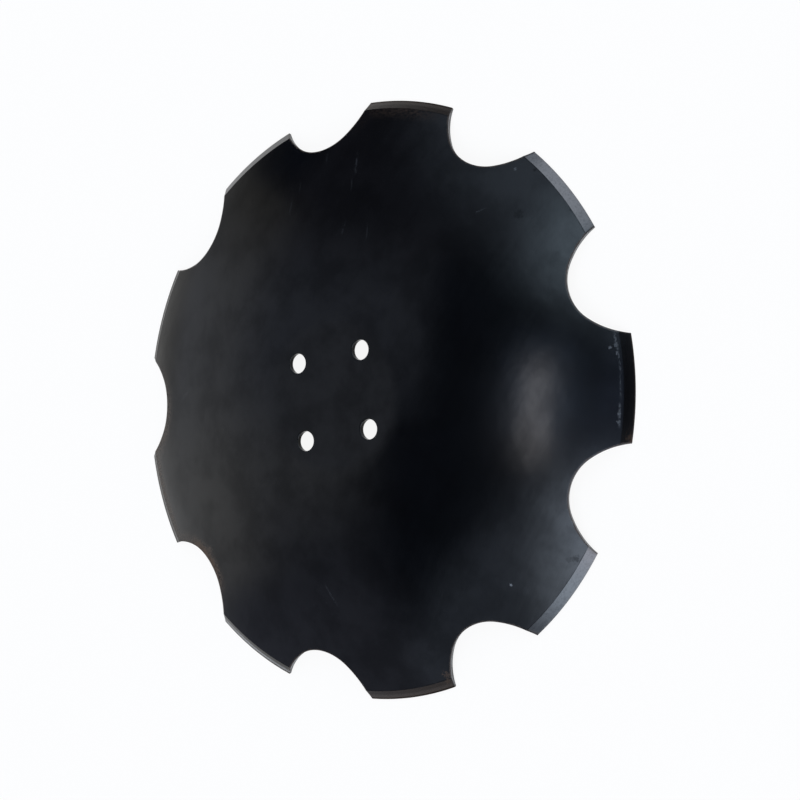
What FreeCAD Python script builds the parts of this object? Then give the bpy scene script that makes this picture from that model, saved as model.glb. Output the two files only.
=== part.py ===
import FreeCAD, Part
import math
import os

# Driving dimensions, in millimetres and degrees
disc_diameter = 610.0        # over the tooth tips, at their outermost corner
sheet_thickness = 5.0        # rolled sheet that the disc is pressed from
dish_radius = 750.0          # spherical radius of the concave face
seat_diameter = 140.0        # flat centre that is clamped to the hub
seat_blend_radius = 150.0    # concave face, between the flat centre and the dish
bolt_circle = 112.0          # pitch circle of the bolt holes
bolt_holes = 4
bolt_hole_diameter = 20.0
bolt_phase = -7.6            # first bolt hole, counted from the middle of a notch
teeth = 9                    # as many notches as teeth
notch_floor_radius = 254.0   # disc axis to the floor of a notch, in the cutting-edge plane
notch_floor_arc = 44.0       # radius of the round floor of a notch
notch_floor_spread = 38.5    # half the angle that the floor arc covers
notch_flank_arc = 90.0       # radius of the two flanks that open towards the rim
bevel_width = 8.5            # radial width of the ground bevel on a tooth tip, convex side
edge_land = 2.5              # sheet left standing at the cutting edge

# Derived sizes. Z 0 is the convex face of the flat centre, and the dish opens downwards.
tip_radius = disc_diameter / 2
seat_radius = seat_diameter / 2
inner_seat_z = -sheet_thickness
blend_centre_z = inner_seat_z - seat_blend_radius
blend_to_dish = dish_radius - seat_blend_radius
dish_centre_z = blend_centre_z - math.sqrt(blend_to_dish ** 2 - seat_radius ** 2)
outer_dish_radius = dish_radius + sheet_thickness
seat_angle = math.asin(seat_radius / blend_to_dish)
tip_angle = math.asin(tip_radius / (dish_radius + edge_land))
bevel_angle = math.asin((tip_radius - bevel_width) / outer_dish_radius)
edge_plane_z = dish_centre_z + dish_radius * math.cos(tip_angle)
tool_overrun = 2 * sheet_thickness


def section_point(centre_x, centre_z, radius, angle):
    """Point of the XZ section at a radius from a centre, at an angle from the disc axis."""
    x = centre_x + radius * math.sin(angle)
    z = centre_z + radius * math.cos(angle)
    return FreeCAD.Vector(x, 0, z)


def section_arc(centre_x, centre_z, radius, start_angle, end_angle):
    """Arc of the XZ section between two angles from the disc axis."""
    angles = (start_angle, (start_angle + end_angle) / 2, end_angle)
    points = [section_point(centre_x, centre_z, radius, angle) for angle in angles]
    return Part.Arc(*points).toShape()


def line(start, end):
    return Part.LineSegment(start, end).toShape()


def dished_blank():
    """Round blank with its flat centre, blend, spherical dish, edge land and bevel, as one revolve."""
    inner_axis = FreeCAD.Vector(0, 0, inner_seat_z)
    inner_seat = FreeCAD.Vector(seat_radius, 0, inner_seat_z)
    outer_axis = FreeCAD.Vector(0, 0, 0)
    outer_seat = FreeCAD.Vector(seat_radius, 0, 0)
    edge = section_point(0, dish_centre_z, dish_radius, tip_angle)
    land = section_point(0, dish_centre_z, dish_radius + edge_land, tip_angle)
    bevel = section_point(0, dish_centre_z, outer_dish_radius, bevel_angle)
    outer_blend_radius = seat_blend_radius + sheet_thickness
    section = [
        line(inner_axis, inner_seat),
        section_arc(seat_radius, blend_centre_z, seat_blend_radius, 0, seat_angle),
        section_arc(0, dish_centre_z, dish_radius, seat_angle, tip_angle),
        line(edge, land),
        line(land, bevel),
        section_arc(0, dish_centre_z, outer_dish_radius, bevel_angle, seat_angle),
        section_arc(seat_radius, blend_centre_z, outer_blend_radius, seat_angle, 0),
        line(outer_seat, outer_axis),
        line(outer_axis, inner_axis),
    ]
    face = Part.Face(Part.Wire(section))
    return face.revolve(FreeCAD.Vector(0, 0, 0), FreeCAD.Vector(0, 0, 1), 360)


def notch_outline(z):
    """Outline of a notch at height z. It grows with the distance from the centre of the dish,
    so that the walls between two outlines stand square to the dished sheet."""
    scale = (z - dish_centre_z) / (edge_plane_z - dish_centre_z)
    spread = math.radians(notch_floor_spread)
    floor_centre_x = notch_floor_radius + notch_floor_arc
    flank_shift = notch_flank_arc - notch_floor_arc

    def at(x, y):
        return FreeCAD.Vector(scale * x, scale * y, z)

    def floor(angle):
        x = floor_centre_x - notch_floor_arc * math.cos(angle)
        return at(x, notch_floor_arc * math.sin(angle))

    def flank(angle, side):
        x = floor_centre_x + flank_shift * math.cos(spread) - notch_flank_arc * math.cos(angle)
        y = notch_flank_arc * math.sin(angle) - flank_shift * math.sin(spread)
        return at(x, side * y)

    def mouth(side):
        y = notch_flank_arc - flank_shift * math.sin(spread)
        return at(tip_radius + notch_flank_arc, side * y)

    square = math.pi / 2
    middle = (spread + square) / 2
    return Part.Wire([
        Part.Arc(floor(-spread), floor(0), floor(spread)).toShape(),
        Part.Arc(flank(spread, 1), flank(middle, 1), flank(square, 1)).toShape(),
        line(flank(square, 1), mouth(1)),
        line(mouth(1), mouth(-1)),
        line(mouth(-1), flank(square, -1)),
        Part.Arc(flank(square, -1), flank(middle, -1), flank(spread, -1)).toShape(),
    ])


def around_axis(tool, count, first_angle=0.0):
    """Copies of a cutting tool, evenly spaced about the disc axis."""
    copies = []
    for index in range(count):
        copy = tool.copy()
        angle = first_angle + index * 360.0 / count
        copy.rotate(FreeCAD.Vector(0, 0, 0), FreeCAD.Vector(0, 0, 1), angle)
        copies.append(copy)
    return copies


def notch_tools():
    lowest = notch_outline(edge_plane_z - tool_overrun)
    highest = notch_outline(tool_overrun)
    return around_axis(Part.makeLoft([lowest, highest], True, True), teeth)


def bolt_hole_tools():
    base = FreeCAD.Vector(bolt_circle / 2, 0, inner_seat_z - tool_overrun)
    length = sheet_thickness + 2 * tool_overrun
    drill = Part.makeCylinder(bolt_hole_diameter / 2, length, base, FreeCAD.Vector(0, 0, 1))
    return around_axis(drill, bolt_holes, bolt_phase)


def disc_blade():
    """The whole disc: a dished blank with its notches and bolt holes cut out."""
    return dished_blank().cut(notch_tools() + bolt_hole_tools()).Solids[0]


os.makedirs("parts", exist_ok=True)
blade = disc_blade()
blade.exportStep("parts/disc_blade.step")
print("valid", blade.isValid(), "volume cm3", round(blade.Volume / 1000, 1))
print("dish depth", round(inner_seat_z - edge_plane_z, 2), "overall height", round(-edge_plane_z, 2))
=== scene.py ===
import math
from collections import namedtuple
from functools import cached_property

import bmesh
import bpy
import numpy as np
from bpy.props import FloatProperty, FloatVectorProperty, IntProperty, PointerProperty
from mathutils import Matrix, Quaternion, Vector


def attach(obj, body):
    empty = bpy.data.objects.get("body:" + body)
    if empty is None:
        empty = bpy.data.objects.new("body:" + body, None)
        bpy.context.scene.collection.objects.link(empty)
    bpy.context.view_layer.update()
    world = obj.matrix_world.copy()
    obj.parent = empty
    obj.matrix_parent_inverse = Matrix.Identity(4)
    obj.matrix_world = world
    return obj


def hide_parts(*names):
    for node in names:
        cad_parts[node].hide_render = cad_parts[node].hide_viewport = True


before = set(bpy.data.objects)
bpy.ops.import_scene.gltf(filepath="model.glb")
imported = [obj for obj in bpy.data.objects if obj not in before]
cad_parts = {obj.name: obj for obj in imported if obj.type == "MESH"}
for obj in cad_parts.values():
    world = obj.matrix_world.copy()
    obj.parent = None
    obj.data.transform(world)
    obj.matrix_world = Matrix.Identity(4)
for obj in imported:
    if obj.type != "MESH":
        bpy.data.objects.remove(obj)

bl_info = {
    "name": "Serrated Plough Disc",
    "version": (1, 0, 0),
    "blender": (4, 5, 0),
    "location": "View3D > Sidebar > Plough Disc",
    "description": "Builds a dished, notched plough disc in black lacquer, with its studio",
    "category": "Object",
}

NODE = "disc_blade"
BODY = "root"
PIECE = "lacquered_blade"

# Steps of the surface grids
FLOOR_STEPS = 11      # half a notch floor
FLANK_STEPS = 16      # a notch flank, up to the bevel
BEVEL_STEPS = 4       # across the bevel
TOOTH_STEPS = 26      # along a tooth tip
LIP_STEPS = 3         # around the rounded lip of a cut
WALL_STEPS = 3        # through the sheet
BLEND_STEPS = 8       # across the seat's blend
DISH_STEPS = 22       # from the blend to the rim, convex side
HOLLOW_STEPS = 14     # the same, concave side
SEAT_STEPS = 7        # from a bolt hole to the edge of its quarter of the seat
SEAT_LINE_STEPS = 28  # along the line between two quarters, convex side
FLOOR_CORNERS = 128   # of the stage's round floor

BOLT_HOLES = 4        # and as many quarters of the seat, one about each hole
STRIP_LIPS = 5        # lip radii from a notch's wall to where its strip ends
SEAT_CROWDING = 1.4   # power that crowds the seat's rings about a bolt hole
WELD_DISTANCE = 2e-6  # between points of two grids that are one
ROLLING_DIRECTION = math.radians(28.2)  # azimuth of the sheet's rolling streaks
MM = 0.001            # a millimetre in metres

# Zones of the surface: each has a crease where it meets another, and one of the finishes, which
# are in the order crown, bevel, cut and hollow
CROWN, BEVEL, CUT, LAND, HOLLOW, BORE = range(6)
FINISH_OF_ZONE = (0, 1, 2, 2, 3, 0)
SMOOTH_PAIRS = ((CROWN, CUT), (BEVEL, CUT), (CROWN, BORE), (HOLLOW, BORE))


def length_setting(name, description, default):
    """A length of the blade or the stage, in metres."""
    return FloatProperty(
        name=name, description=description, default=default, unit="LENGTH", subtype="DISTANCE")


def angle_setting(name, description, degrees):
    """An angle, given in degrees."""
    return FloatProperty(
        name=name, description=description, default=math.radians(degrees), unit="ROTATION",
        subtype="ANGLE")


def colour_setting(name, description, default):
    """A colour of a finish or of the stage."""
    return FloatVectorProperty(
        name=name, description=description, default=default, subtype="COLOR", min=0, max=1)


def share_setting(name, description, default):
    """A share between none and all."""
    return FloatProperty(
        name=name, description=description, default=default, subtype="FACTOR", min=0, max=1)


def place_setting(name, description, default):
    """A place in the stage, in metres."""
    return FloatVectorProperty(
        name=name, description=description, default=default, unit="LENGTH", subtype="TRANSLATION")


class PloughBladeSizes(bpy.types.PropertyGroup):
    """Sizes of the blade."""

    disc_diameter: length_setting("Disc Diameter", "Over the tooth tips", 0.610)
    sheet_thickness: length_setting(
        "Sheet Thickness", "Steel sheet that the disc is pressed from", 0.005)
    dish_radius: length_setting("Dish Radius", "Spherical radius of the concave face", 0.750)
    seat_diameter: length_setting("Seat Diameter", "Flat centre that is clamped to the hub", 0.140)
    seat_blend_radius: length_setting(
        "Seat Blend Radius", "Concave radius between the seat and the dish", 0.150)
    bolt_circle: length_setting("Bolt Circle", "Pitch circle of the bolt holes", 0.112)
    bolt_hole_diameter: length_setting("Bolt Hole Diameter", "Each of the four holes", 0.020)
    bolt_phase: angle_setting("Bolt Phase", "First bolt hole, from the middle of a notch", -7.6)
    teeth: IntProperty(
        name="Teeth", description="As many notches as teeth", default=9, min=3)
    notch_floor_radius: length_setting(
        "Notch Floor Radius", "Disc axis to a notch floor, in the cutting-edge plane", 0.254)
    notch_floor_arc: length_setting(
        "Notch Floor Arc", "Radius of the round floor of a notch", 0.044)
    notch_floor_spread: angle_setting(
        "Notch Floor Spread", "Half the angle that the floor arc covers", 38.5)
    notch_flank_arc: length_setting(
        "Notch Flank Arc", "Radius of the flanks that open towards the rim", 0.090)
    bevel_width: length_setting(
        "Bevel Width", "Radial width of the ground bevel on a tooth tip", 0.0085)
    edge_land: length_setting("Edge Land", "Sheet left standing at the cutting edge", 0.0025)
    lip_radius: length_setting(
        "Lip Radius", "Rounding of the convex side's edge at a cut or a hole", 0.0004)


class PloughFinishColours(bpy.types.PropertyGroup):
    """Colours and gloss of the finishes."""

    lacquer: colour_setting("Lacquer", "Thin black lacquer on the sheet", (0.0017, 0.0018, 0.0020))
    scuffed: colour_setting(
        "Scuffed Lacquer", "Lacquer that is scratched pale", (0.100, 0.105, 0.112))
    browned: colour_setting(
        "Browned Steel", "Oxide that shows through the lacquer at ground and cut edges",
        (0.032, 0.020, 0.013))
    cut_steel: colour_setting(
        "Cut Steel", "Grey-brown skin of the cut walls", (0.100, 0.096, 0.092))
    worn_steel: colour_setting(
        "Worn Steel", "Bright steel where the lacquer is rubbed off the edge of a cut",
        (0.260, 0.255, 0.250))
    rust: colour_setting("Rust", "Light rust in spots at the cut edges", (0.085, 0.050, 0.029))
    lacquer_roughness: share_setting(
        "Lacquer Roughness", "Satin gloss of the lacquered sheet", 0.15)
    bevel_roughness: share_setting("Bevel Roughness", "Gloss of the ground bevels", 0.18)
    cut_roughness: share_setting("Cut Roughness", "Gloss of the notch walls", 0.42)


class PloughStageSettings(bpy.types.PropertyGroup):
    """Floor, background and camera."""

    floor_colour: colour_setting("Floor", "Pale floor that the blade lies on", (0.92, 0.88, 0.84))
    floor_glow: share_setting("Floor Glow", "Share of plain white that the floor shows", 0.91)
    floor_radius: length_setting("Floor Radius", "Size of the round floor", 30.0)
    panel_level: FloatProperty(
        name="Panel Level", description="Brightness of all the soft panels together",
        default=1.27, min=0, subtype="FACTOR")
    room_colour: colour_setting("Room", "Dim room between the panels", (0.0095, 0.0150, 0.035))
    backdrop_colour: colour_setting(
        "Backdrop", "Pale backdrop just above the floor's edge", (0.95, 0.93, 0.87))
    backdrop_bend: share_setting(
        "Backdrop Bend", "Height on a unit sphere where its lower half has faded", 0.06)
    backdrop_top: share_setting(
        "Backdrop Top", "Height on a unit sphere where the whole backdrop has faded", 0.23)
    camera_place: place_setting(
        "Camera Place", "Where the camera stands", (0.46573, -0.99170, 1.42057))
    camera_aim: place_setting(
        "Camera Aim", "Point that the camera looks at", (0.02626, -0.05515, -0.03000))
    camera_roll: angle_setting(
        "Camera Roll", "Turn of the camera about its line of sight", -86.2257)
    camera_lens: FloatProperty(
        name="Camera Lens", description="Focal length on a 36 mm sensor, in millimetres",
        default=81.094, unit="CAMERA")


class DishForm:
    """Working lengths and angles of the pressed sheet, worked out from the blade's sizes."""

    def __init__(self, sizes):
        self.sizes = sizes
        self.sheet = sizes.sheet_thickness
        self.inner = sizes.dish_radius
        self.outer = self.inner + self.sheet
        self.seat = sizes.seat_diameter / 2
        self.blend = sizes.seat_blend_radius
        reach = self.inner - self.blend
        self.blend_z = -self.sheet - self.blend
        self.centre_z = self.blend_z - math.sqrt(reach ** 2 - self.seat ** 2)
        self.seat_angle = math.asin(self.seat / reach)
        self.tip = sizes.disc_diameter / 2
        self.land_radius = self.inner + sizes.edge_land
        self.tip_angle = math.asin(self.tip / self.land_radius)
        self.bevel_angle = math.asin((self.tip - sizes.bevel_width) / self.outer)
        self.edge_height = self.inner * math.cos(self.tip_angle)
        self.edge_z = self.centre_z + self.edge_height
        self.bevel_circle = self.edge_height * math.tan(self.bevel_angle)
        self.tip_circle = self.edge_height * math.tan(self.tip_angle)
        self.lip = sizes.lip_radius
        self.spread = sizes.notch_floor_spread
        self.floor_x = sizes.notch_floor_radius + sizes.notch_floor_arc
        shift = sizes.notch_flank_arc - sizes.notch_floor_arc
        self.flank_x = self.floor_x + shift * math.cos(self.spread)
        self.flank_y = -shift * math.sin(self.spread)
        self.pitch = math.tau / sizes.teeth

    def tilt_of(self, x, y):
        """Angle from the disc axis of a plan point of the cutting-edge plane, seen from the
        centre of the dish."""
        return np.arctan2(np.hypot(x, y), self.edge_height)

    def crown(self, tilt):
        """Distance from the centre of the dish to the convex side: the outer sphere, and beyond
        the bevel's start the straight line from there to the top of the edge land."""
        start = self.outer * np.array([math.sin(self.bevel_angle), math.cos(self.bevel_angle)])
        end = self.land_radius * np.array([math.sin(self.tip_angle), math.cos(self.tip_angle)])
        run, fall = end - start
        cross = start[0] * fall - start[1] * run
        cone = cross / (np.sin(tilt) * fall - np.cos(tilt) * run)
        return np.where(tilt > self.bevel_angle, cone, self.outer)

    def place(self, tilt, azimuth, distance):
        """Points at a distance from the centre of the dish, in a direction."""
        plan = distance * np.sin(tilt)
        height = self.centre_z + distance * np.cos(tilt)
        return np.stack([plan * np.cos(azimuth), plan * np.sin(azimuth), height], -1)


def turn(points, angles):
    """Copies of a set of points turned about the disc axis, one for each angle."""
    cosine = np.cos(angles).reshape(-1, *[1] * (points.ndim - 1))
    sine = np.sin(angles).reshape(-1, *[1] * (points.ndim - 1))
    x, y, z = np.moveaxis(points, -1, 0)
    z = np.broadcast_to(z, (len(angles), *z.shape))
    return np.stack([cosine * x - sine * y, sine * x + cosine * y, z], -1)


def notch_half(form, insets):
    """Half a notch in plan, in the cutting-edge plane: rows along the cut, a column for each inset
    into the steel. The floor is an arc about (c, 0) of radius r + inset, from 0 to the spread.
    The flank is the arc of radius R + inset that continues it, cut where its distance from the
    disc axis equals the bevel's circle and then the tip circle."""
    floor = form.sizes.notch_floor_arc + insets
    flank = form.sizes.notch_flank_arc + insets
    reach = math.hypot(form.flank_x, form.flank_y)

    def meets(circle):
        level = (reach ** 2 + flank ** 2 - circle ** 2) / (2 * flank * reach)
        return np.arccos(level) - math.atan2(form.flank_y, form.flank_x)

    start, end = meets(form.bevel_circle), meets(form.tip_circle)
    on_floor = np.linspace(0, form.spread, FLOOR_STEPS + 1)[:, None] + 0 * insets
    on_flank = np.linspace(form.spread + 0 * start, start, FLANK_STEPS + 1)[1:]
    on_bevel = np.linspace(start, end, BEVEL_STEPS + 1)[1:]
    on_side = np.concatenate([on_flank, on_bevel])
    x = np.concatenate([form.floor_x - floor * np.cos(on_floor),
                        form.flank_x - flank * np.cos(on_side)])
    y = np.concatenate([floor * np.sin(on_floor), form.flank_y + flank * np.sin(on_side)])
    return x, y


def lip_steps(radius):
    """Inset and drop of a rounded lip: a quarter circle from the wall to the face."""
    angle = np.linspace(0, math.pi / 2, LIP_STEPS + 1)
    return radius * (1 - np.cos(angle)), radius * (1 - np.sin(angle))


def face_grid(form, tilt, azimuth, ring, convex):
    """Dished face between the seat and its outline. A column runs along the section: first the
    blend's arc, then the sphere's, by arc length, while its azimuth goes evenly from the seat
    circle's to the outline's."""
    blend = form.blend + (form.sheet if convex else 0)
    sphere = form.outer if convex else form.inner
    steps = DISH_STEPS if convex else HOLLOW_STEPS
    blend_length = blend * form.seat_angle
    share = np.concatenate([np.zeros(BLEND_STEPS), np.linspace(0, 1, steps + 1)])[:, None]
    bend = np.concatenate([np.linspace(0, 1, BLEND_STEPS + 1), np.ones(steps)])[:, None]
    in_dish = share * sphere * (tilt - form.seat_angle)
    turned = bend * blend_length / blend
    angle = form.seat_angle + in_dish / sphere
    in_blend = share == 0
    plan = np.where(in_blend, form.seat + blend * np.sin(turned), sphere * np.sin(angle))
    height = np.where(in_blend, form.blend_z + blend * np.cos(turned),
                      form.centre_z + sphere * np.cos(angle))
    around = ring + share * (azimuth - ring)
    return np.stack([plan * np.cos(around), plan * np.sin(around), height], -1)


def seat_quarter(form, height, arc_steps, line_steps, spokes, drop_sign):
    """A quarter of the flat seat about its bolt hole, as rings that go from the hole's circle to
    the quarter's border. The border starts at the disc axis, goes out along one side, round the
    seat's circle and back along the other side. Returns the rings and the spokes' angles."""
    hole_x = form.sizes.bolt_circle / 2
    hole = form.sizes.bolt_hole_diameter / 2
    quarter = math.pi / BOLT_HOLES
    out = np.linspace(0, form.seat, line_steps + 1)
    arc = np.linspace(-quarter, quarter, arc_steps + 1)
    radius = np.concatenate([out, np.full(arc_steps - 1, form.seat), out[::-1]])
    angle = np.concatenate([np.full(line_steps, -quarter), arc, np.full(line_steps, quarter)])
    border = np.stack([radius * np.cos(angle), radius * np.sin(angle)], -1)
    if spokes is None:
        spokes = np.arctan2(border[:, 1], border[:, 0] - hole_x)
        spokes[0], spokes[-1] = -math.pi, math.pi
    inset, drop = lip_steps(form.lip)
    ring = (hole + inset)[:, None, None] * np.stack([np.cos(spokes), np.sin(spokes)], -1)
    ring = ring + np.array([hole_x, 0])
    share = np.linspace(0, 1, SEAT_STEPS + 1)[1:, None, None] ** SEAT_CROWDING
    spread = ring[-1] + share * (border - ring[-1])
    plan = np.concatenate([ring, spread])
    level = np.full(len(plan), height)
    level[:len(drop)] += drop_sign * drop
    level = np.broadcast_to(level[:, None, None], (*plan.shape[:2], 1))
    return np.concatenate([plan, level], -1), spokes


def values_of(items, name, kind=np.int32, width=1):
    """One property of all the items, as a flat array."""
    values = np.zeros(len(items) * width, kind)
    items.foreach_get(name, values)
    return values


def store(mesh, name, kind, domain, values):
    """Stores a new attribute with a value for each face, edge or point."""
    mesh.attributes.new(name, kind, domain).data.foreach_set("value", values)


class Skin:
    """Collects grids of points, and makes one closed mesh of them."""

    def __init__(self):
        self.points, self.quads, self.zones = [], [], []
        self.count = 0

    def add(self, grids, zone):
        """Adds grids of rows by columns as quads of one zone. Any leading axes are copies."""
        copies = grids.reshape(-1, *grids.shape[-3:])
        number, rows, columns = copies.shape[:3]
        index = self.count + np.arange(number * rows * columns).reshape(number, rows, columns)
        corners = (index[:, :-1, :-1], index[:, 1:, :-1], index[:, 1:, 1:], index[:, :-1, 1:])
        quads = np.stack(corners, -1).reshape(-1, 4)
        self.points.append(copies.reshape(-1, 3))
        self.quads.append(quads)
        self.zones.append(np.full(len(quads), zone, np.int32))
        self.count += number * rows * columns

    def mesh(self, name):
        """The welded mesh, with its faces turned outwards and the zone of each face stored."""
        made = bpy.data.meshes.new(name)
        made.from_pydata(np.concatenate(self.points), [], np.concatenate(self.quads))
        store(made, "zone", "INT", "FACE", np.concatenate(self.zones))
        shape = bmesh.new()
        shape.from_mesh(made)
        bmesh.ops.remove_doubles(shape, verts=shape.verts, dist=WELD_DISTANCE)
        bmesh.ops.recalc_face_normals(shape, faces=shape.faces)
        open_edges = sum(not edge.is_manifold for edge in shape.edges)
        shape.to_mesh(made)
        shape.free()
        if open_edges:
            raise RuntimeError(f"{name} has {open_edges} open edges")
        return made


def crease(mesh):
    """Gives each face its zone's finish, and a sharp edge where two zones meet at an angle."""
    zone = values_of(mesh.attributes["zone"].data, "value")
    edge_of_loop = values_of(mesh.loops, "edge_index")
    zone_of_loop = np.repeat(zone, values_of(mesh.polygons, "loop_total"))
    low, high = np.full(len(mesh.edges), BORE), np.full(len(mesh.edges), CROWN)
    np.minimum.at(low, edge_of_loop, zone_of_loop)
    np.maximum.at(high, edge_of_loop, zone_of_loop)
    sharp = low != high
    for first, second in SMOOTH_PAIRS:
        sharp &= ~((low == min(first, second)) & (high == max(first, second)))
    mesh.polygons.foreach_set("material_index", np.take(FINISH_OF_ZONE, zone).astype(np.int32))
    mesh.polygons.foreach_set("use_smooth", np.ones(len(zone), bool))
    store(mesh, "sharp_edge", "BOOLEAN", "EDGE", sharp)
    mesh.update()


def mark_gaps(form, mesh):
    """Stores at each vertex how far it is from the nearest notch, from the cutting edge and from
    where the bevel starts. The distance to a notch is that to its floor arc's centre, or its
    flank's, less the radius."""
    x, y, z = values_of(mesh.vertices, "co", float, 3).reshape(-1, 3).T
    scale = form.edge_height / (z - form.centre_z)
    plan = np.hypot(x, y) * scale
    azimuth = np.arctan2(y, x)
    azimuth = np.abs((azimuth + form.pitch / 2) % form.pitch - form.pitch / 2)
    along, across = plan * np.cos(azimuth), plan * np.sin(azimuth)
    to_floor = np.hypot(along - form.floor_x, across) - form.sizes.notch_floor_arc
    to_flank = (np.hypot(along - form.flank_x, across - form.flank_y)
                - form.sizes.notch_flank_arc)
    on_floor = np.arctan2(across, form.floor_x - along) < form.spread
    gap = np.where(on_floor, to_floor, to_flank)
    for name, values in (("cut_gap", gap), ("rim_gap", form.tip_circle - plan),
                         ("bevel_gap", form.bevel_circle - plan)):
        store(mesh, name, "FLOAT", "POINT", np.maximum(values, 0).astype(np.float32))


def blade_mesh(form):
    """The whole blade: for each side its dished face and seat, and between them the strips along
    the notches with their lips, the bevels, the walls, the edge lands and the bores."""
    sizes = form.sizes
    skin = Skin()
    notches = np.arange(sizes.teeth) * form.pitch
    inset, drop = lip_steps(form.lip)
    insets = np.append(inset, STRIP_LIPS * form.lip)
    drops = np.append(drop, 0.0)
    half_x, half_y = notch_half(form, insets)
    face_rows = FLOOR_STEPS + FLANK_STEPS

    # strips along the notches, from tip to tip
    x = np.concatenate([half_x[:0:-1], half_x])
    y = np.concatenate([-half_y[:0:-1], half_y])
    tilt, azimuth = form.tilt_of(x, y), np.arctan2(y, x)
    strip = form.place(tilt, azimuth, form.crown(tilt) - drops)
    ends = (strip[:BEVEL_STEPS + 1], strip[-BEVEL_STEPS - 1:])
    skin.add(turn(strip[BEVEL_STEPS:-BEVEL_STEPS], notches), CROWN)
    for end in ends:
        skin.add(turn(end, notches), BEVEL)

    # walls of the notches
    depth = np.linspace(1, 0, WALL_STEPS + 1)[:, None]
    top = (form.crown(tilt) - drops)[:, 0]
    wall = form.inner + depth * (top - form.inner)
    skin.add(turn(form.place(tilt[:, 0], azimuth[:, 0], wall), notches), CUT)

    # bevels between the strips, and the lands under them, about the middle of each tooth
    half_azimuth = np.arctan2(half_y, half_x)
    half_tilt = form.tilt_of(half_x, half_y)
    side = half_azimuth[face_rows:, -1]
    rows_tilt = half_tilt[face_rows:, -1][:, None]
    middle = side[:, None] + np.linspace(0, 1, TOOTH_STEPS + 1) * (form.pitch - 2 * side[:, None])
    bevel = form.place(rows_tilt + 0 * middle, middle, form.crown(rows_tilt))
    skin.add(turn(bevel, notches), BEVEL)
    tip_azimuth = np.concatenate(
        [half_azimuth[-1, :-1], middle[-1], form.pitch - half_azimuth[-1, -2::-1]])
    tip_drop = np.concatenate([drops[:-1], np.zeros(TOOTH_STEPS + 1), drops[-2::-1]])
    land = form.inner + depth * (form.land_radius - tip_drop - form.inner)
    tips = form.tip_angle + 0 * land
    skin.add(turn(form.place(tips, tip_azimuth + 0 * land, land), notches), LAND)

    # dished faces, one sector at a time from the middle of a notch to that of the next
    crown_tilt = np.concatenate([
        half_tilt[:face_rows + 1, -1], np.full(TOOTH_STEPS - 1, form.bevel_angle),
        half_tilt[face_rows::-1, -1]])
    crown_azimuth = np.concatenate([
        half_azimuth[:face_rows, -1], middle[0], form.pitch - half_azimuth[face_rows - 1::-1, -1]])
    hollow_tilt = np.concatenate([
        half_tilt[:-1, 0], np.full(len(tip_azimuth), form.tip_angle), half_tilt[-2::-1, 0]])
    hollow_azimuth = np.concatenate([
        half_azimuth[:-1, 0], tip_azimuth, form.pitch - half_azimuth[-2::-1, 0]])
    seat_join = sizes.bolt_phase + math.pi / BOLT_HOLES
    quarters = sizes.bolt_phase + np.arange(BOLT_HOLES) * math.tau / BOLT_HOLES
    spokes = around = None
    for zone, tilts, azimuths in ((CROWN, crown_tilt, crown_azimuth),
                                  (HOLLOW, hollow_tilt, hollow_azimuth)):
        convex = zone == CROWN
        columns = len(tilts) - 1
        total = sizes.teeth * columns
        arc_steps = total // BOLT_HOLES
        step = math.tau / total
        twist = seat_join - round(seat_join / step) * step
        ring = np.arange(columns + 1) * step + twist
        skin.add(turn(face_grid(form, tilts, azimuths, ring, convex), notches), zone)
        if around is None:
            around = 2 * SEAT_LINE_STEPS + arc_steps
        if total % BOLT_HOLES or (around - arc_steps) % 2:
            raise ValueError("the seat's quarters need another count of steps")
        height, sign = (0.0, -1.0) if convex else (-form.sheet, 1.0)
        line_steps = (around - arc_steps) // 2
        quarter, spokes = seat_quarter(form, height, arc_steps, line_steps, spokes, sign)
        skin.add(turn(quarter, quarters), zone)

    # bores of the bolt holes
    hole = sizes.bolt_hole_diameter / 2
    levels = np.linspace(-form.lip, form.lip - form.sheet, WALL_STEPS + 1)[:, None]
    bore_x = sizes.bolt_circle / 2 + hole * np.cos(spokes) + 0 * levels
    bore = np.stack([bore_x, hole * np.sin(spokes) + 0 * levels, levels + 0 * bore_x], -1)
    skin.add(turn(bore, quarters), BORE)

    mesh = skin.mesh(PIECE)
    crease(mesh)
    mark_gaps(form, mesh)
    return mesh


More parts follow.
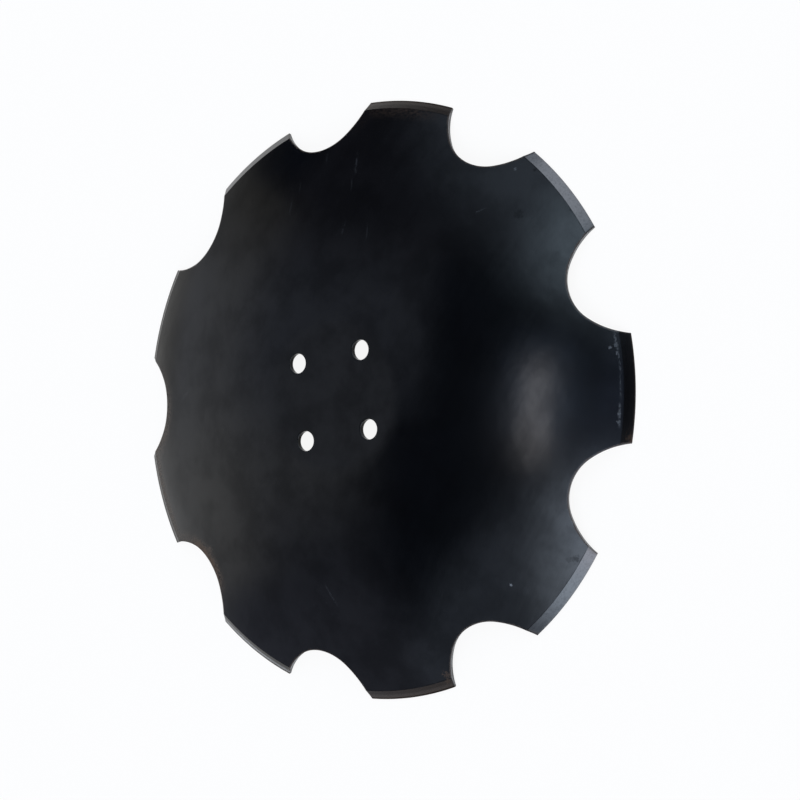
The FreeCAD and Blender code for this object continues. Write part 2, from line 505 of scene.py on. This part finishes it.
class Net:
    """A node tree with short calls for the nodes that the finishes and the room use."""

    def __init__(self, tree):
        self.tree = tree
        tree.nodes.clear()

    def fill(self, made, inputs):
        """Sets or links inputs of a node, and returns its outputs."""
        for name, value in inputs.items():
            if isinstance(value, bpy.types.NodeSocket):
                self.tree.links.new(value, made.inputs[name])
            else:
                made.inputs[name].default_value = value
        return made.outputs

    def node(self, kind, inputs=None, **settings):
        """Adds a node with its options and inputs, and returns its outputs."""
        made = self.tree.nodes.new(kind)
        for name, value in settings.items():
            setattr(made, name, value)
        return self.fill(made, inputs or {})

    def use(self, group, inputs):
        """Places a node group, and returns its outputs."""
        made = self.tree.nodes.new("ShaderNodeGroup")
        made.node_tree = group
        return self.fill(made, inputs)

    def math(self, operation, first, second=0.0, clamp=False):
        return self.node(
            "ShaderNodeMath", {0: first, 1: second}, operation=operation, use_clamp=clamp)[0]

    def chain(self, operation, values):
        """One operation over all the values, from left to right."""
        result = values[0]
        for value in values[1:]:
            result = self.math(operation, result, value)
        return result

    def plus(self, *values):
        return self.chain("ADD", values)

    def minus(self, first, second):
        return self.math("SUBTRACT", first, second)

    def times(self, *values):
        return self.chain("MULTIPLY", values)

    def most(self, *values):
        return self.chain("MAXIMUM", values)

    def rest(self, value):
        """One less the value, but no less than zero."""
        return self.math("SUBTRACT", 1.0, value, clamp=True)

    def vector(self, operation, *values, output=0):
        inputs = dict(enumerate(values))
        return self.node("ShaderNodeVectorMath", inputs, operation=operation)[output]

    def flat(self, value):
        """A vector without its height."""
        return self.vector("MULTIPLY", value, (1.0, 1.0, 0.0))

    def between(self, value, low, high, to_low=0.0, to_high=1.0):
        """A smooth step of the value from low to high."""
        return self.node(
            "ShaderNodeMapRange",
            {"Value": value, "From Min": low, "From Max": high, "To Min": to_low,
             "To Max": to_high},
            interpolation_type="SMOOTHSTEP")["Result"]

    def fade(self, value, low, high):
        """One less a smooth step: one under low and none over high."""
        return self.between(value, low, high, 1.0, 0.0)

    def mix(self, share, first, second):
        """A blend of two colours, each a socket or a plain colour."""
        paints = [paint if isinstance(paint, bpy.types.NodeSocket) else (*paint, 1.0)
                  for paint in (first, second)]
        return self.node(
            "ShaderNodeMix", {0: share, 6: paints[0], 7: paints[1]}, data_type="RGBA")[2]

    def noise(self, where, scale, detail=3.0, rough=0.5):
        return self.node("ShaderNodeTexNoise", {
            "Vector": where, "Scale": scale, "Detail": detail, "Roughness": rough})["Fac"]

    def end(self, kind, shader):
        """The tree's end, which shows the shader."""
        self.node(kind, {"Surface": shader})


FLOAT, VECTOR = "NodeSocketFloat", "NodeSocketVector"


def new_group(name, inputs, outputs):
    """An empty shader node group with its sockets. An input with a default is a number, and one
    without is a vector. Returns its net, its inputs and a call that gives its outputs."""
    tree = bpy.data.node_groups.new(name, "ShaderNodeTree")
    net = Net(tree)
    for socket, value in inputs.items():
        kind = VECTOR if value is None else FLOAT
        made = tree.interface.new_socket(name=socket, in_out="INPUT", socket_type=kind)
        if value is not None:
            made.default_value = value
    for socket in outputs:
        tree.interface.new_socket(name=socket, in_out="OUTPUT", socket_type=FLOAT)
    start = tree.nodes.new("NodeGroupInput")
    end = tree.nodes.new("NodeGroupOutput")
    return net, start.outputs, lambda **values: net.fill(end, values)


def edge_wear_group():
    """Wear along an edge: one less the gap over the reach, broken up by noise."""
    net, start, give = new_group(
        "Edge Wear",
        {"Position": None, "Gap": 0.01, "Reach": 0.002, "Scale": 400.0, "Cover": 0.5}, ["Mask"])
    near = net.rest(net.math("DIVIDE", start["Gap"], start["Reach"]))
    patchy = net.noise(start["Position"], start["Scale"], detail=4.0, rough=0.6)
    bare = net.minus(1.0, start["Cover"])
    raised = net.minus(net.plus(net.times(near, 0.6), patchy), bare)
    give(Mask=net.times(net.between(raised, 0.22, 0.42), net.between(near, 0.0, 0.25)))
    return net.tree


def grain_group():
    """Grain of a rolled and sprayed sheet. The height is a fine peel with coarser waves, the
    mottle is slow cloudy patches, and the streaks run along the rolling direction."""
    net, start, give = new_group(
        "Sheet Grain",
        {"Position": None, "Peel Scale": 700.0, "Wave Scale": 45.0, "Mottle Scale": 21.0,
         "Streak Scale": 170.0}, ["Height", "Mottle", "Streaks"])
    peel = net.noise(start["Position"], start["Peel Scale"], detail=2.0)
    wave = net.noise(start["Position"], start["Wave Scale"], detail=2.0)
    rolled = net.node("ShaderNodeMapping", {
        "Vector": start["Position"], "Rotation": (0.0, 0.0, -ROLLING_DIRECTION),
        "Scale": (0.05, 1.0, 0.05)}, vector_type="POINT")[0]
    streaks = net.noise(rolled, start["Streak Scale"], rough=0.6)
    mottle = net.noise(start["Position"], start["Mottle Scale"], detail=6.0, rough=0.62)
    height = net.plus(net.times(peel, 0.06), wave, net.times(streaks, 0.20))
    give(Height=height, Mottle=mottle, Streaks=streaks)
    return net.tree


def spot_group():
    """A ragged spot about a point in plan: one inside the radius, which the grit makes uneven."""
    net, start, give = new_group(
        "Ragged Spot",
        {"Position": None, "Grit": 0.5, "Centre": None, "Radius": 0.002, "Ragged": 1.0}, ["Mask"])
    away = net.flat(net.vector("SUBTRACT", start["Position"], start["Centre"]))
    share = net.math("DIVIDE", net.vector("LENGTH", away, output=1), start["Radius"])
    uneven = net.times(net.minus(start["Grit"], 0.5), start["Ragged"], 4.0)
    give(Mask=net.fade(net.plus(share, uneven), 0.45, 1.1))
    return net.tree


def scratch_group():
    """A thin scratch in plan from one point to another: one on the line between them, none at its
    width from it, with its ends faded and its middle broken up by the grit."""
    net, start, give = new_group(
        "Scratch",
        {"Position": None, "Grit": 0.5, "From": None, "To": None, "Width": 0.0004}, ["Mask"])
    along = net.flat(net.vector("SUBTRACT", start["To"], start["From"]))
    here = net.flat(net.vector("SUBTRACT", start["Position"], start["From"]))
    length = net.vector("DOT_PRODUCT", along, along, output=1)
    share = net.math(
        "DIVIDE", net.vector("DOT_PRODUCT", here, along, output=1), length, clamp=True)
    foot = net.vector("MULTIPLY", along, share)
    away = net.vector("DISTANCE", here, foot, output=1)
    line = net.fade(away, 0.0, start["Width"])
    ends = net.times(net.between(share, 0.0, 0.25), net.fade(share, 0.75, 1.0))
    give(Mask=net.times(line, ends, net.between(start["Grit"], 0.40, 0.56)))
    return net.tree


# Marks on the bevels: their strength by the number of the tooth, from the first notch on
BROWN_TEETH = {0: 0.90, 2: 0.60, 3: 0.60, 5: 0.75, 7: 0.10}
# Darkened bevels: on teeth 2 and 3 with their browning, on tooth 7 painted shade
DARK_AND_PAINTED_SHADE_TEETH = {2: 0.85, 3: 0.85, 7: 0.50}
BARE_TEETH = {4: 0.75}
NARROW_TEETH = {0: 0.6, 4: 1.0, 5: 0.6}
TOOTH_REACH = 100.0  # millimetres about the middle of the tip

# Marks on the convex side, in millimetres in plan. Spots have a place, a radius and a strength,
# and scratches have both ends, a width and a strength.
RUST_SPOTS = (
    (262, 146, 3.0, 0.20), (-189, -223, 4.2, 0.36), (-194, -226, 3.4, 0.28),
    (-241, 112, 5.0, 0.65), (-242, 98, 4.5, 0.90), (-245, 84, 4.2, 0.75), (-233, 91, 4.0, 0.40),
    (111, -286, 7.0, 0.45),
)
BROWN_SIDES = (
    (-246, 92, 45.0, 1.00), (-205, 215, 130.0, 0.60), (262, 100, 55.0, 0.22),
)
PALE_SPOTS = (
    (278, -51, 1.4, 0.35), (295, -20, 1.6, 0.30), (-69, -249, 1.3, 1.00),
    (175, -227, 1.5, 0.45), (179, -230, 1.8, 0.35), (173, -235, 1.4, 0.40),
    (125, -264, 1.8, 0.45), (118, -268, 1.4, 0.40),
)
DARK_SMUDGES = (
    (243, -82, 5.5, 0.40), (-15, -291, 4.5, 0.50), (-19, -286, 3.5, 0.35),
    (271, -124, 3.5, 0.50), (286, -69, 1.8, 0.50),
)
SCRATCHES = (
    (220, 124, 197, 107, 1.9, 0.16), (194, 109, 182, 100, 1.5, 0.10),
    (162, 171, 152, 164, 1.4, 0.10), (157, 86, 140, 80, 1.6, 0.10),
    (166, 59, 150, 49, 1.3, 0.10), (142, 168, 127, 160, 1.6, 0.10),
    (202, 160, 192, 153, 1.8, 0.14), (224, -42, 235, -50, 1.4, 0.18),
    (-115, 204, -89, 191, 2.0, 0.15), (190, -222, 174, -236, 1.8, 0.35),
    (178, -233, 157, -249, 1.4, 0.28), (160, -246, 135, -261, 1.2, 0.18),
    (137, -259, 112, -272, 1.7, 0.40), (-190, -95, -175, -70, 1.6, 0.12),
)

# Index of refraction of each finish, and the height in metres that its grain stands for
LACQUER_IOR, BEVEL_IOR, CUT_IOR = 1.45, 1.62, 1.50
SHEET_RELIEF, CUT_RELIEF = 0.0001, 0.00008

# Grinding lines of the bevels, in noise cells to the metre
GRINDING_ACROSS, GRINDING_ALONG = 1300.0, 18.0

# Shares of the lacquer's film and of its browning along the notches, and the roughness that each
# thing adds. The mottle and the streaks are everywhere, so about their mean is taken off again.
FILM_SHARE, BROWNED_SHARE = 0.30, 0.8
MOTTLE_ROUGHNESS, STREAK_ROUGHNESS, SHEET_MEAN = 0.06, 0.05, 0.045
BROWNED_ROUGHNESS, MARK_ROUGHNESS = 0.25, 0.4

# Roughness that the bevels' grinding lines add, their browning, and teeth both brown and dark
GROUND_ROUGHNESS, WORN_ROUGHNESS, DARK_ROUGHNESS = 0.10, 0.14, 0.6


class Finish(Net):
    """The net of a material, with what the finishes share: the piece's own coordinates, the grit
    that breaks up the marks, the stored gaps and the node groups."""

    def __init__(self, name, groups):
        self.material = bpy.data.materials.new(name)
        self.material.use_nodes = True
        super().__init__(self.material.node_tree)
        self.groups = groups
        self.place = self.node("ShaderNodeTexCoord")["Object"]

    @cached_property
    def grit(self):
        """Fine noise that breaks up the edges of the marks."""
        return self.noise(self.place, 420.0, detail=4.0, rough=0.65)

    def gap(self, name):
        """Distance in metres that the mesh stores to the cuts, the cutting edge or the bevels."""
        return self.node("ShaderNodeAttribute", attribute_name=name)["Fac"]

    def away(self):
        """Distance from the disc axis."""
        return self.vector("LENGTH", self.flat(self.place), output=1)

    def grain(self, wave_scale=45.0):
        return self.use(self.groups["grain"], {"Position": self.place, "Wave Scale": wave_scale})

    def wear(self, gap, reach, scale, cover):
        return self.use(self.groups["wear"], {
            "Position": self.place, "Gap": gap, "Reach": reach, "Scale": scale,
            "Cover": cover})["Mask"]

    def spots(self, marks, ragged):
        """One mask for several ragged spots."""
        masks = []
        for x, y, radius, strength in marks:
            mask = self.use(self.groups["spot"], {
                "Position": self.place, "Grit": self.grit, "Centre": (x * MM, y * MM, 0.0),
                "Radius": radius * MM, "Ragged": ragged})["Mask"]
            masks.append(self.times(strength, mask))
        return self.most(*masks)

    def scratches(self, marks):
        """One mask for several scratches."""
        masks = []
        for from_x, from_y, to_x, to_y, width, strength in marks:
            mask = self.use(self.groups["scratch"], {
                "Position": self.place, "Grit": self.grit,
                "From": (from_x * MM, from_y * MM, 0.0), "To": (to_x * MM, to_y * MM, 0.0),
                "Width": width * MM})["Mask"]
            masks.append(self.times(strength, mask))
        return self.most(*masks)

    def teeth(self, form, strengths):
        """One mask for the tips of several teeth."""
        marks = []
        for tooth, strength in strengths.items():
            azimuth = (tooth + 0.5) * form.pitch
            x, y = form.tip * math.cos(azimuth), form.tip * math.sin(azimuth)
            marks.append((x / MM, y / MM, TOOTH_REACH, strength))
        return self.spots(marks, 0.3)

    def shade(self, colour, roughness, dull, height, relief, ior):
        """The finish's shader with its bump. Dull is black as metal and takes away that share of
        the
        gloss: a film of dirt, in the bolt holes and on one bevel painted shade. Returns the
        material."""
        bump = self.node("ShaderNodeBump", {"Height": height, "Strength": 1.0, "Distance": relief})
        shader = self.node("ShaderNodeBsdfPrincipled", {
            "Base Color": colour, "Roughness": roughness, "Metallic": dull, "Normal": bump[0],
            "IOR": ior})
        self.end("ShaderNodeOutputMaterial", shader[0])
        return self.material


def sheet_finish(net, colours):
    """What both sides of the sheet share: lacquer with a cloudy film on it, that is browned along
    the notches. Returns its colour, roughness, height and film."""
    grain = net.grain()
    browned = net.wear(net.gap("cut_gap"), reach=0.0022, scale=260.0, cover=0.60)
    film = net.times(net.between(grain["Mottle"], 0.38, 0.66), FILM_SHARE)
    colour = net.mix(net.times(browned, BROWNED_SHARE), colours.lacquer, colours.browned)
    roughness = net.plus(
        net.times(grain["Mottle"], MOTTLE_ROUGHNESS), colours.lacquer_roughness - SHEET_MEAN,
        net.times(grain["Streaks"], STREAK_ROUGHNESS), net.times(browned, BROWNED_ROUGHNESS))
    return colour, roughness, grain["Height"], film


def crown_finish(colours, groups, form):
    """Convex side: satin black lacquer with scratches, pale specks, dark smudges, light rust at
    some of the notches and a thin dirty line where the bevels start. The bores are darkened by
    painted shade."""
    net = Finish("Black Lacquer", groups)
    colour, roughness, height, film = sheet_finish(net, colours)
    cut_gap, bevel_gap = net.gap("cut_gap"), net.gap("bevel_gap")

    scuffed = net.most(net.scratches(SCRATCHES), net.spots(PALE_SPOTS, 1.2))
    along_edges = net.fade(net.math("MINIMUM", cut_gap, bevel_gap), 0.002, 0.017)
    band = net.times(net.spots(BROWN_SIDES, 0.3), along_edges)
    patchy = net.times(band, net.between(net.grit, 0.38, 0.58))
    rusted = net.most(net.spots(RUST_SPOTS, 1.0), patchy)
    marked = net.most(scuffed, rusted)

    height_in_seat = net.node("ShaderNodeSeparateXYZ", {0: net.place})["Z"]
    in_seat = net.fade(net.away(), form.seat + 0.002, form.seat + 0.004)
    # painted shade: the walls of the bolt holes lose most of their gloss, so they render dark
    painted_shade_in_bore = net.times(net.between(height_in_seat, -0.0010, -0.0003, 0.85, 0.0), in_seat)
    dirty = net.wear(bevel_gap, reach=0.0022, scale=130.0, cover=0.45)
    dull = net.most(film, net.spots(DARK_SMUDGES, 0.7), painted_shade_in_bore, net.times(dirty, 0.45),
                    net.times(band, 0.5))
    dull = net.most(net.times(dull, net.rest(marked)), net.times(patchy, 0.4))

    colour = net.mix(scuffed, colour, colours.scuffed)
    colour = net.mix(rusted, colour, colours.rust)
    roughness = net.plus(roughness, net.times(marked, MARK_ROUGHNESS))
    return net.shade(colour, roughness, dull, height, SHEET_RELIEF, LACQUER_IOR)


def bevel_finish(colours, groups, form):
    """Ground steel under a thin coat: grinding lines that run along the edge, browned towards the
    tooth's ends, at the cutting edge and all over on the brown teeth. Where the bevel was ground
    narrower, its inner strip stays as dark as the face. One tooth is rubbed bare in streaks. Three
    teeth are darkened: two with their browning, and tooth 7 with painted shade."""
    net = Finish("Ground Bevel", groups)
    width = form.sizes.bevel_width
    rim_gap, cut_gap = net.gap("rim_gap"), net.gap("cut_gap")
    lines = net.node("ShaderNodeCombineXYZ", {
        "X": net.times(rim_gap, GRINDING_ACROSS), "Y": net.times(cut_gap, GRINDING_ALONG)})
    ground = net.noise(lines[0], 1.0)
    ends = net.wear(cut_gap, reach=0.010, scale=180.0, cover=0.35)
    edge = net.wear(rim_gap, reach=0.0016, scale=150.0, cover=0.75)
    towards_rim = net.between(rim_gap, 0.1 * width, 0.9 * width, 1.0, 0.5)
    teeth = net.times(net.teeth(form, BROWN_TEETH), towards_rim)
    # darker bevels: with the browning on teeth 2 and 3, painted shade on tooth 7
    dark = net.teeth(form, DARK_AND_PAINTED_SHADE_TEETH)
    narrow = net.teeth(form, NARROW_TEETH)
    worn = net.most(net.times(ends, 0.5), teeth, net.times(edge, 0.5))

    bare = net.times(
        net.teeth(form, BARE_TEETH), net.between(ground, 0.35, 0.60),
        net.between(rim_gap, 0.0015, 0.0035),
        net.fade(rim_gap, 0.60 * width, 0.72 * width))
    colour = net.mix(worn, colours.lacquer, colours.browned)
    colour = net.mix(net.spots(RUST_SPOTS, 1.0), colour, colours.rust)
    colour = net.mix(bare, colour, colours.worn_steel)

    strip = net.times(narrow, net.between(rim_gap, 0.66 * width, 0.80 * width))
    gritty = net.times(net.between(net.grit, 0.45, 0.70), 0.22)
    dull = net.times(
        net.most(net.times(ends, 0.4), net.times(strip, 0.75), gritty), net.rest(worn))
    rim = net.times(net.math("MULTIPLY", narrow, 1.5, clamp=True),
                    net.between(rim_gap, 0.0012, 0.0030, 0.95, 0.0))
    dull = net.most(dull, dark, rim)

    roughness = net.plus(
        net.times(ground, GROUND_ROUGHNESS), colours.bevel_roughness - GROUND_ROUGHNESS / 2,
        net.times(worn, WORN_ROUGHNESS), net.times(teeth, dark, DARK_ROUGHNESS))
    height = net.plus(net.times(ground, 0.15), net.grain(90.0)["Height"])
    return net.shade(colour, roughness, dull, height, SHEET_RELIEF, BEVEL_IOR)


def cut_finish(colours, groups, form):
    """Walls of the notches: a grey-brown skin with fine lines across the sheet, where the cut ran,
    rubbed bright under the convex side and brown towards the cutting edge."""
    net = Finish("Cut Edge", groups)
    drawn = net.node("ShaderNodeMapping", {"Vector": net.place, "Scale": (1.0, 1.0, 0.12)})[0]
    lines = net.noise(drawn, 620.0, rough=0.6)
    patches = net.between(net.noise(net.place, 150.0, detail=4.0, rough=0.6), 0.40, 0.62)
    at_land = net.fade(net.gap("rim_gap"), 0.0003, 0.0016)
    out = net.vector("DISTANCE", net.place, (0.0, 0.0, form.centre_z), output=1)
    rubbed = net.times(net.between(out, form.outer - 0.0020, form.outer - 0.0006),
                       net.between(lines, 0.36, 0.56, 0.4, 1.0))
    colour = net.mix(net.times(patches, 0.45), colours.cut_steel, colours.browned)
    colour = net.mix(rubbed, colour, colours.worn_steel)
    colour = net.mix(net.times(at_land, 0.9), colour, colours.browned)
    roughness = net.plus(colours.cut_roughness, net.times(patches, 0.12))
    height = net.plus(net.grain(160.0)["Height"], net.times(lines, 0.9))
    return net.shade(colour, roughness, 0.0, height, CUT_RELIEF, CUT_IOR)


def hollow_finish(colours, groups):
    """Concave side: the same lacquer, a little more matt, with faint rings from the press."""
    net = Finish("Hollow Lacquer", groups)
    colour, roughness, height, film = sheet_finish(net, colours)
    rings = net.noise(net.node("ShaderNodeCombineXYZ", {"X": net.away()})[0], 240.0)
    roughness = net.plus(net.times(rings, 0.05), roughness)
    height = net.plus(height, net.times(rings, 0.2))
    return net.shade(colour, roughness, film, height, SHEET_RELIEF, LACQUER_IOR)


class PLOUGHDISC_OT_blade(bpy.types.Operator):
    """Build the lacquered blade and its finishes"""

    bl_idname = "ploughdisc.blade"
    bl_label = "Build Blade"

    def execute(self, context):
        scene = context.scene
        form = DishForm(scene.plough_blade)
        colours = scene.plough_finish
        blade = bpy.data.objects.new(PIECE, blade_mesh(form))
        scene.collection.objects.link(blade)
        groups = {
            "wear": edge_wear_group(), "grain": grain_group(),
            "spot": spot_group(), "scratch": scratch_group(),
        }
        for made in (crown_finish(colours, groups, form), bevel_finish(colours, groups, form),
                     cut_finish(colours, groups, form), hollow_finish(colours, groups)):
            blade.data.materials.append(made)
        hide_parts(NODE)
        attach(blade, BODY)
        return {"FINISHED"}


# The studio's soft panels. Their places are in degrees about the blade: across to the right and
# up along the frame, both from the way in which STUDIO_FRONT points.
STUDIO_FRONT = (-64.86, 54.50)  # azimuth and elevation, from the blade to the studio's front
STUDIO_UPRIGHT = (28.21, 2.19)  # the same, for the way up along the frame
SoftPanel = namedtuple(
    "SoftPanel", "name across along width height turn fade_across fade_along light")
PANELS = (
    SoftPanel("key_core", -33.3, 1.2, 2.2, 16, -4, 2.2, 6, (2.70, 2.60, 2.65)),
    SoftPanel("key", -32.8, 2.3, 5, 16.5, -5, 4, 6, (1.20, 1.12, 1.08)),
    SoftPanel("key_halo", -31.8, 4.5, 11, 15, -5, 9, 14, (0.30, 0.47, 0.74)),
    SoftPanel("head", -11, 46, 33, 54, -15, 21, 14, (1.40, 1.78, 2.12)),
    SoftPanel("head_core", -7, 62, 30, 30, 0, 8, 8, (0.75, 0.50, 0.45)),
    SoftPanel("head_halo", -28, 54, 84, 54, -29, 7, 17, (0.37, 0.46, 0.57)),
    SoftPanel("foot", -3, -33.5, 58, 37, -9, 15, 16, (2.42, 2.78, 3.25)),
    SoftPanel("foot_core", 5, -30, 14, 16, 0, 8, 8, (1.30, 0.95, 1.00)),
    SoftPanel("foot_halo", -26, -44, 65, 61, 37, 9, 9, (0.31, 0.36, 0.45)),
    SoftPanel("foot_side", -78, -64, 50, 16, 0, 12, 8, (0.30, 0.28, 0.27)),
    SoftPanel("side", -86, 12, 63, 23, 7, 4, 17, (0.22, 0.24, 0.29)),
    SoftPanel("side_top", -68, 41, 61, 32, 8, 4, 4, (0.048, 0.045, 0.052)),
    SoftPanel("side_far", -106, 4, 22, 51, 0, 17, 4, (0.18, 0.17, 0.14)),
    SoftPanel("side_low", -107, -10, 79, 18, 8, 19, 17, (0.33, 0.34, 0.36)),
    SoftPanel("side_foot", -95, -39, 58, 37, 7, 16, 24, (0.20, 0.21, 0.26)),
    SoftPanel("front", -13, -2, 20, 50, -17, 3, 4, (0.17, 0.22, 0.35)),
    SoftPanel("fill", 48, 0, 28, 120, 0, 8, 20, (0.95, 0.95, 0.96)),
)


def direction(azimuth, elevation):
    """Unit vector at an azimuth from +X towards +Y and an elevation, in degrees."""
    azimuth, elevation = math.radians(azimuth), math.radians(elevation)
    flat = math.cos(elevation)
    return Vector((flat * math.cos(azimuth), flat * math.sin(azimuth), math.sin(elevation)))


def panel_group():
    """A soft panel: one inside a turned rectangle, with smooth edges. The place is turned about
    the centre, and on each axis the mask steps from 0 to 1 over the fade, half of it outside."""
    net, start, give = new_group(
        "Soft Panel",
        {"Across": 0.0, "Along": 0.0, "Centre Across": 0.0, "Centre Along": 0.0, "Width": 10.0,
         "Height": 10.0, "Turn": 0.0, "Fade Across": 1.0, "Fade Along": 1.0}, ["Mask"])
    across = net.minus(start["Across"], start["Centre Across"])
    along = net.minus(start["Along"], start["Centre Along"])
    cosine, sine = net.math("COSINE", start["Turn"]), net.math("SINE", start["Turn"])
    turned = net.plus(net.times(across, cosine), net.times(along, sine))
    upright = net.minus(net.times(along, cosine), net.times(across, sine))
    masks = []
    for away, size, fade in ((turned, "Width", "Fade Across"), (upright, "Height", "Fade Along")):
        inside = net.minus(net.times(start[size], 0.5), net.math("ABSOLUTE", away))
        share = net.plus(net.math("DIVIDE", inside, start[fade]), 0.5)
        masks.append(net.between(share, 0.0, 1.0))
    give(Mask=net.times(*masks))
    return net.tree


def white_rays(net):
    """One for rays that see the background: from the camera, in gloss and through glass."""
    path = net.node("ShaderNodeLightPath")
    return net.most(path["Is Camera Ray"], path["Is Glossy Ray"], path["Is Transmission Ray"])


def floor_finish(stage):
    """Pale matt floor that shows mostly plain white and keeps a soft shadow."""
    made = bpy.data.materials.new("Pale Floor")
    made.use_nodes = True
    net = Net(made.node_tree)
    share = net.times(white_rays(net), stage.floor_glow)
    matt = net.node("ShaderNodeBsdfDiffuse", {"Color": (*stage.floor_colour, 1.0)})
    glow = net.node("ShaderNodeEmission", {"Color": (1.0, 1.0, 1.0, 1.0), "Strength": 1.0})
    both = net.node("ShaderNodeMixShader", {0: share, 1: matt[0], 2: glow[0]})
    net.end("ShaderNodeOutputMaterial", both[0])
    return made


def room(scene, stage):
    """World: the soft panels in a dim room, over a pale backdrop that fades above the horizon.
    Across is the angle about the upright way, and along the angle above the plane square to it."""
    world = bpy.data.worlds.new("Studio Room")
    scene.world = world
    world.use_nodes = True
    net = Net(world.node_tree)
    where = net.node("ShaderNodeTexCoord")["Generated"]
    front, upright = direction(*STUDIO_FRONT), direction(*STUDIO_UPRIGHT)
    parts = [net.vector("DOT_PRODUCT", where, tuple(way), output=1)
             for way in (upright.cross(front), front, upright)]
    across = net.math("DEGREES", net.math("ARCTAN2", parts[0], parts[1]))
    along = net.math("DEGREES", net.math("ARCSINE", parts[2]))
    height = net.node("ShaderNodeSeparateXYZ", {0: where})["Z"]
    backdrop = net.plus(net.between(height, 0.0, stage.backdrop_bend, 0.5, 0.0),
                        net.between(height, 0.0, stage.backdrop_top, 0.5, 0.0))
    light = net.vector(
        "MULTIPLY_ADD", backdrop, tuple(stage.backdrop_colour), tuple(stage.room_colour))
    group = panel_group()
    for panel in PANELS:
        mask = net.use(group, {
            "Across": across, "Along": along,
            "Centre Across": panel.across, "Centre Along": panel.along,
            "Width": panel.width, "Height": panel.height, "Turn": math.radians(panel.turn),
            "Fade Across": panel.fade_across, "Fade Along": panel.fade_along})["Mask"]
        colour = tuple(stage.panel_level * part for part in panel.light)
        light = net.vector("MULTIPLY_ADD", mask, colour, light)
    glow = net.node("ShaderNodeBackground", {"Color": light, "Strength": 1.0})
    net.end("ShaderNodeOutputWorld", glow[0])


SENSOR_WIDTH = 36.0


class PLOUGHDISC_OT_stage(bpy.types.Operator):
    """Build the floor, the room with its soft panels and the camera"""

    bl_idname = "ploughdisc.stage"
    bl_label = "Build Stage"

    def execute(self, context):
        scene = context.scene
        stage = scene.plough_stage
        form = DishForm(scene.plough_blade)
        scene.view_settings.view_transform = "Standard"

        angle = np.linspace(0, math.tau, FLOOR_CORNERS + 1)[:-1]
        rim = np.stack([np.cos(angle), np.sin(angle), 0 * angle], -1) * stage.floor_radius
        rim[:, 2] = form.edge_z
        mesh = bpy.data.meshes.new("floor")
        mesh.from_pydata(rim, [], [list(range(len(rim)))])
        mesh.materials.append(floor_finish(stage))
        floor = bpy.data.objects.new("floor", mesh)
        scene.collection.objects.link(floor)

        room(scene, stage)

        camera = bpy.data.cameras.new("camera")
        camera.lens = stage.camera_lens
        camera.sensor_width = SENSOR_WIDTH
        body = bpy.data.objects.new("camera", camera)
        place = Vector(stage.camera_place)
        look = (Vector(stage.camera_aim) - place).to_track_quat("-Z", "Y")
        body.rotation_mode = "QUATERNION"
        body.location = place
        body.rotation_quaternion = look @ Quaternion((0, 0, 1), stage.camera_roll)
        scene.collection.objects.link(body)
        scene.camera = body
        return {"FINISHED"}


class PLOUGHDISC_PT_panel(bpy.types.Panel):
    """Sidebar panel with the blade's sizes, finishes and stage"""

    bl_idname = "PLOUGHDISC_PT_panel"
    bl_label = "Plough Disc"
    bl_space_type = "VIEW_3D"
    bl_region_type = "UI"
    bl_category = "Plough Disc"

    def draw(self, context):
        layout = self.layout
        for group in ("plough_blade", "plough_finish", "plough_stage"):
            settings = getattr(context.scene, group)
            column = layout.column(align=True)
            for name in settings.bl_rna.properties.keys():
                if name not in ("rna_type", "name"):
                    column.prop(settings, name)
        for operator in OPERATORS:
            layout.operator(operator.bl_idname)


GROUPS = {
    "plough_blade": PloughBladeSizes,
    "plough_finish": PloughFinishColours,
    "plough_stage": PloughStageSettings,
}
OPERATORS = (PLOUGHDISC_OT_blade, PLOUGHDISC_OT_stage)
CLASSES = (*GROUPS.values(), *OPERATORS, PLOUGHDISC_PT_panel)


def register():
    for made in CLASSES:
        bpy.utils.register_class(made)
    for name, group in GROUPS.items():
        setattr(bpy.types.Scene, name, PointerProperty(type=group))


def unregister():
    for name in GROUPS:
        delattr(bpy.types.Scene, name)
    for made in reversed(CLASSES):
        bpy.utils.unregister_class(made)


def main():
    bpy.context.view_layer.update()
    register()
    bpy.ops.ploughdisc.blade()
    bpy.ops.ploughdisc.stage()


if __name__ == "__main__":
    main()
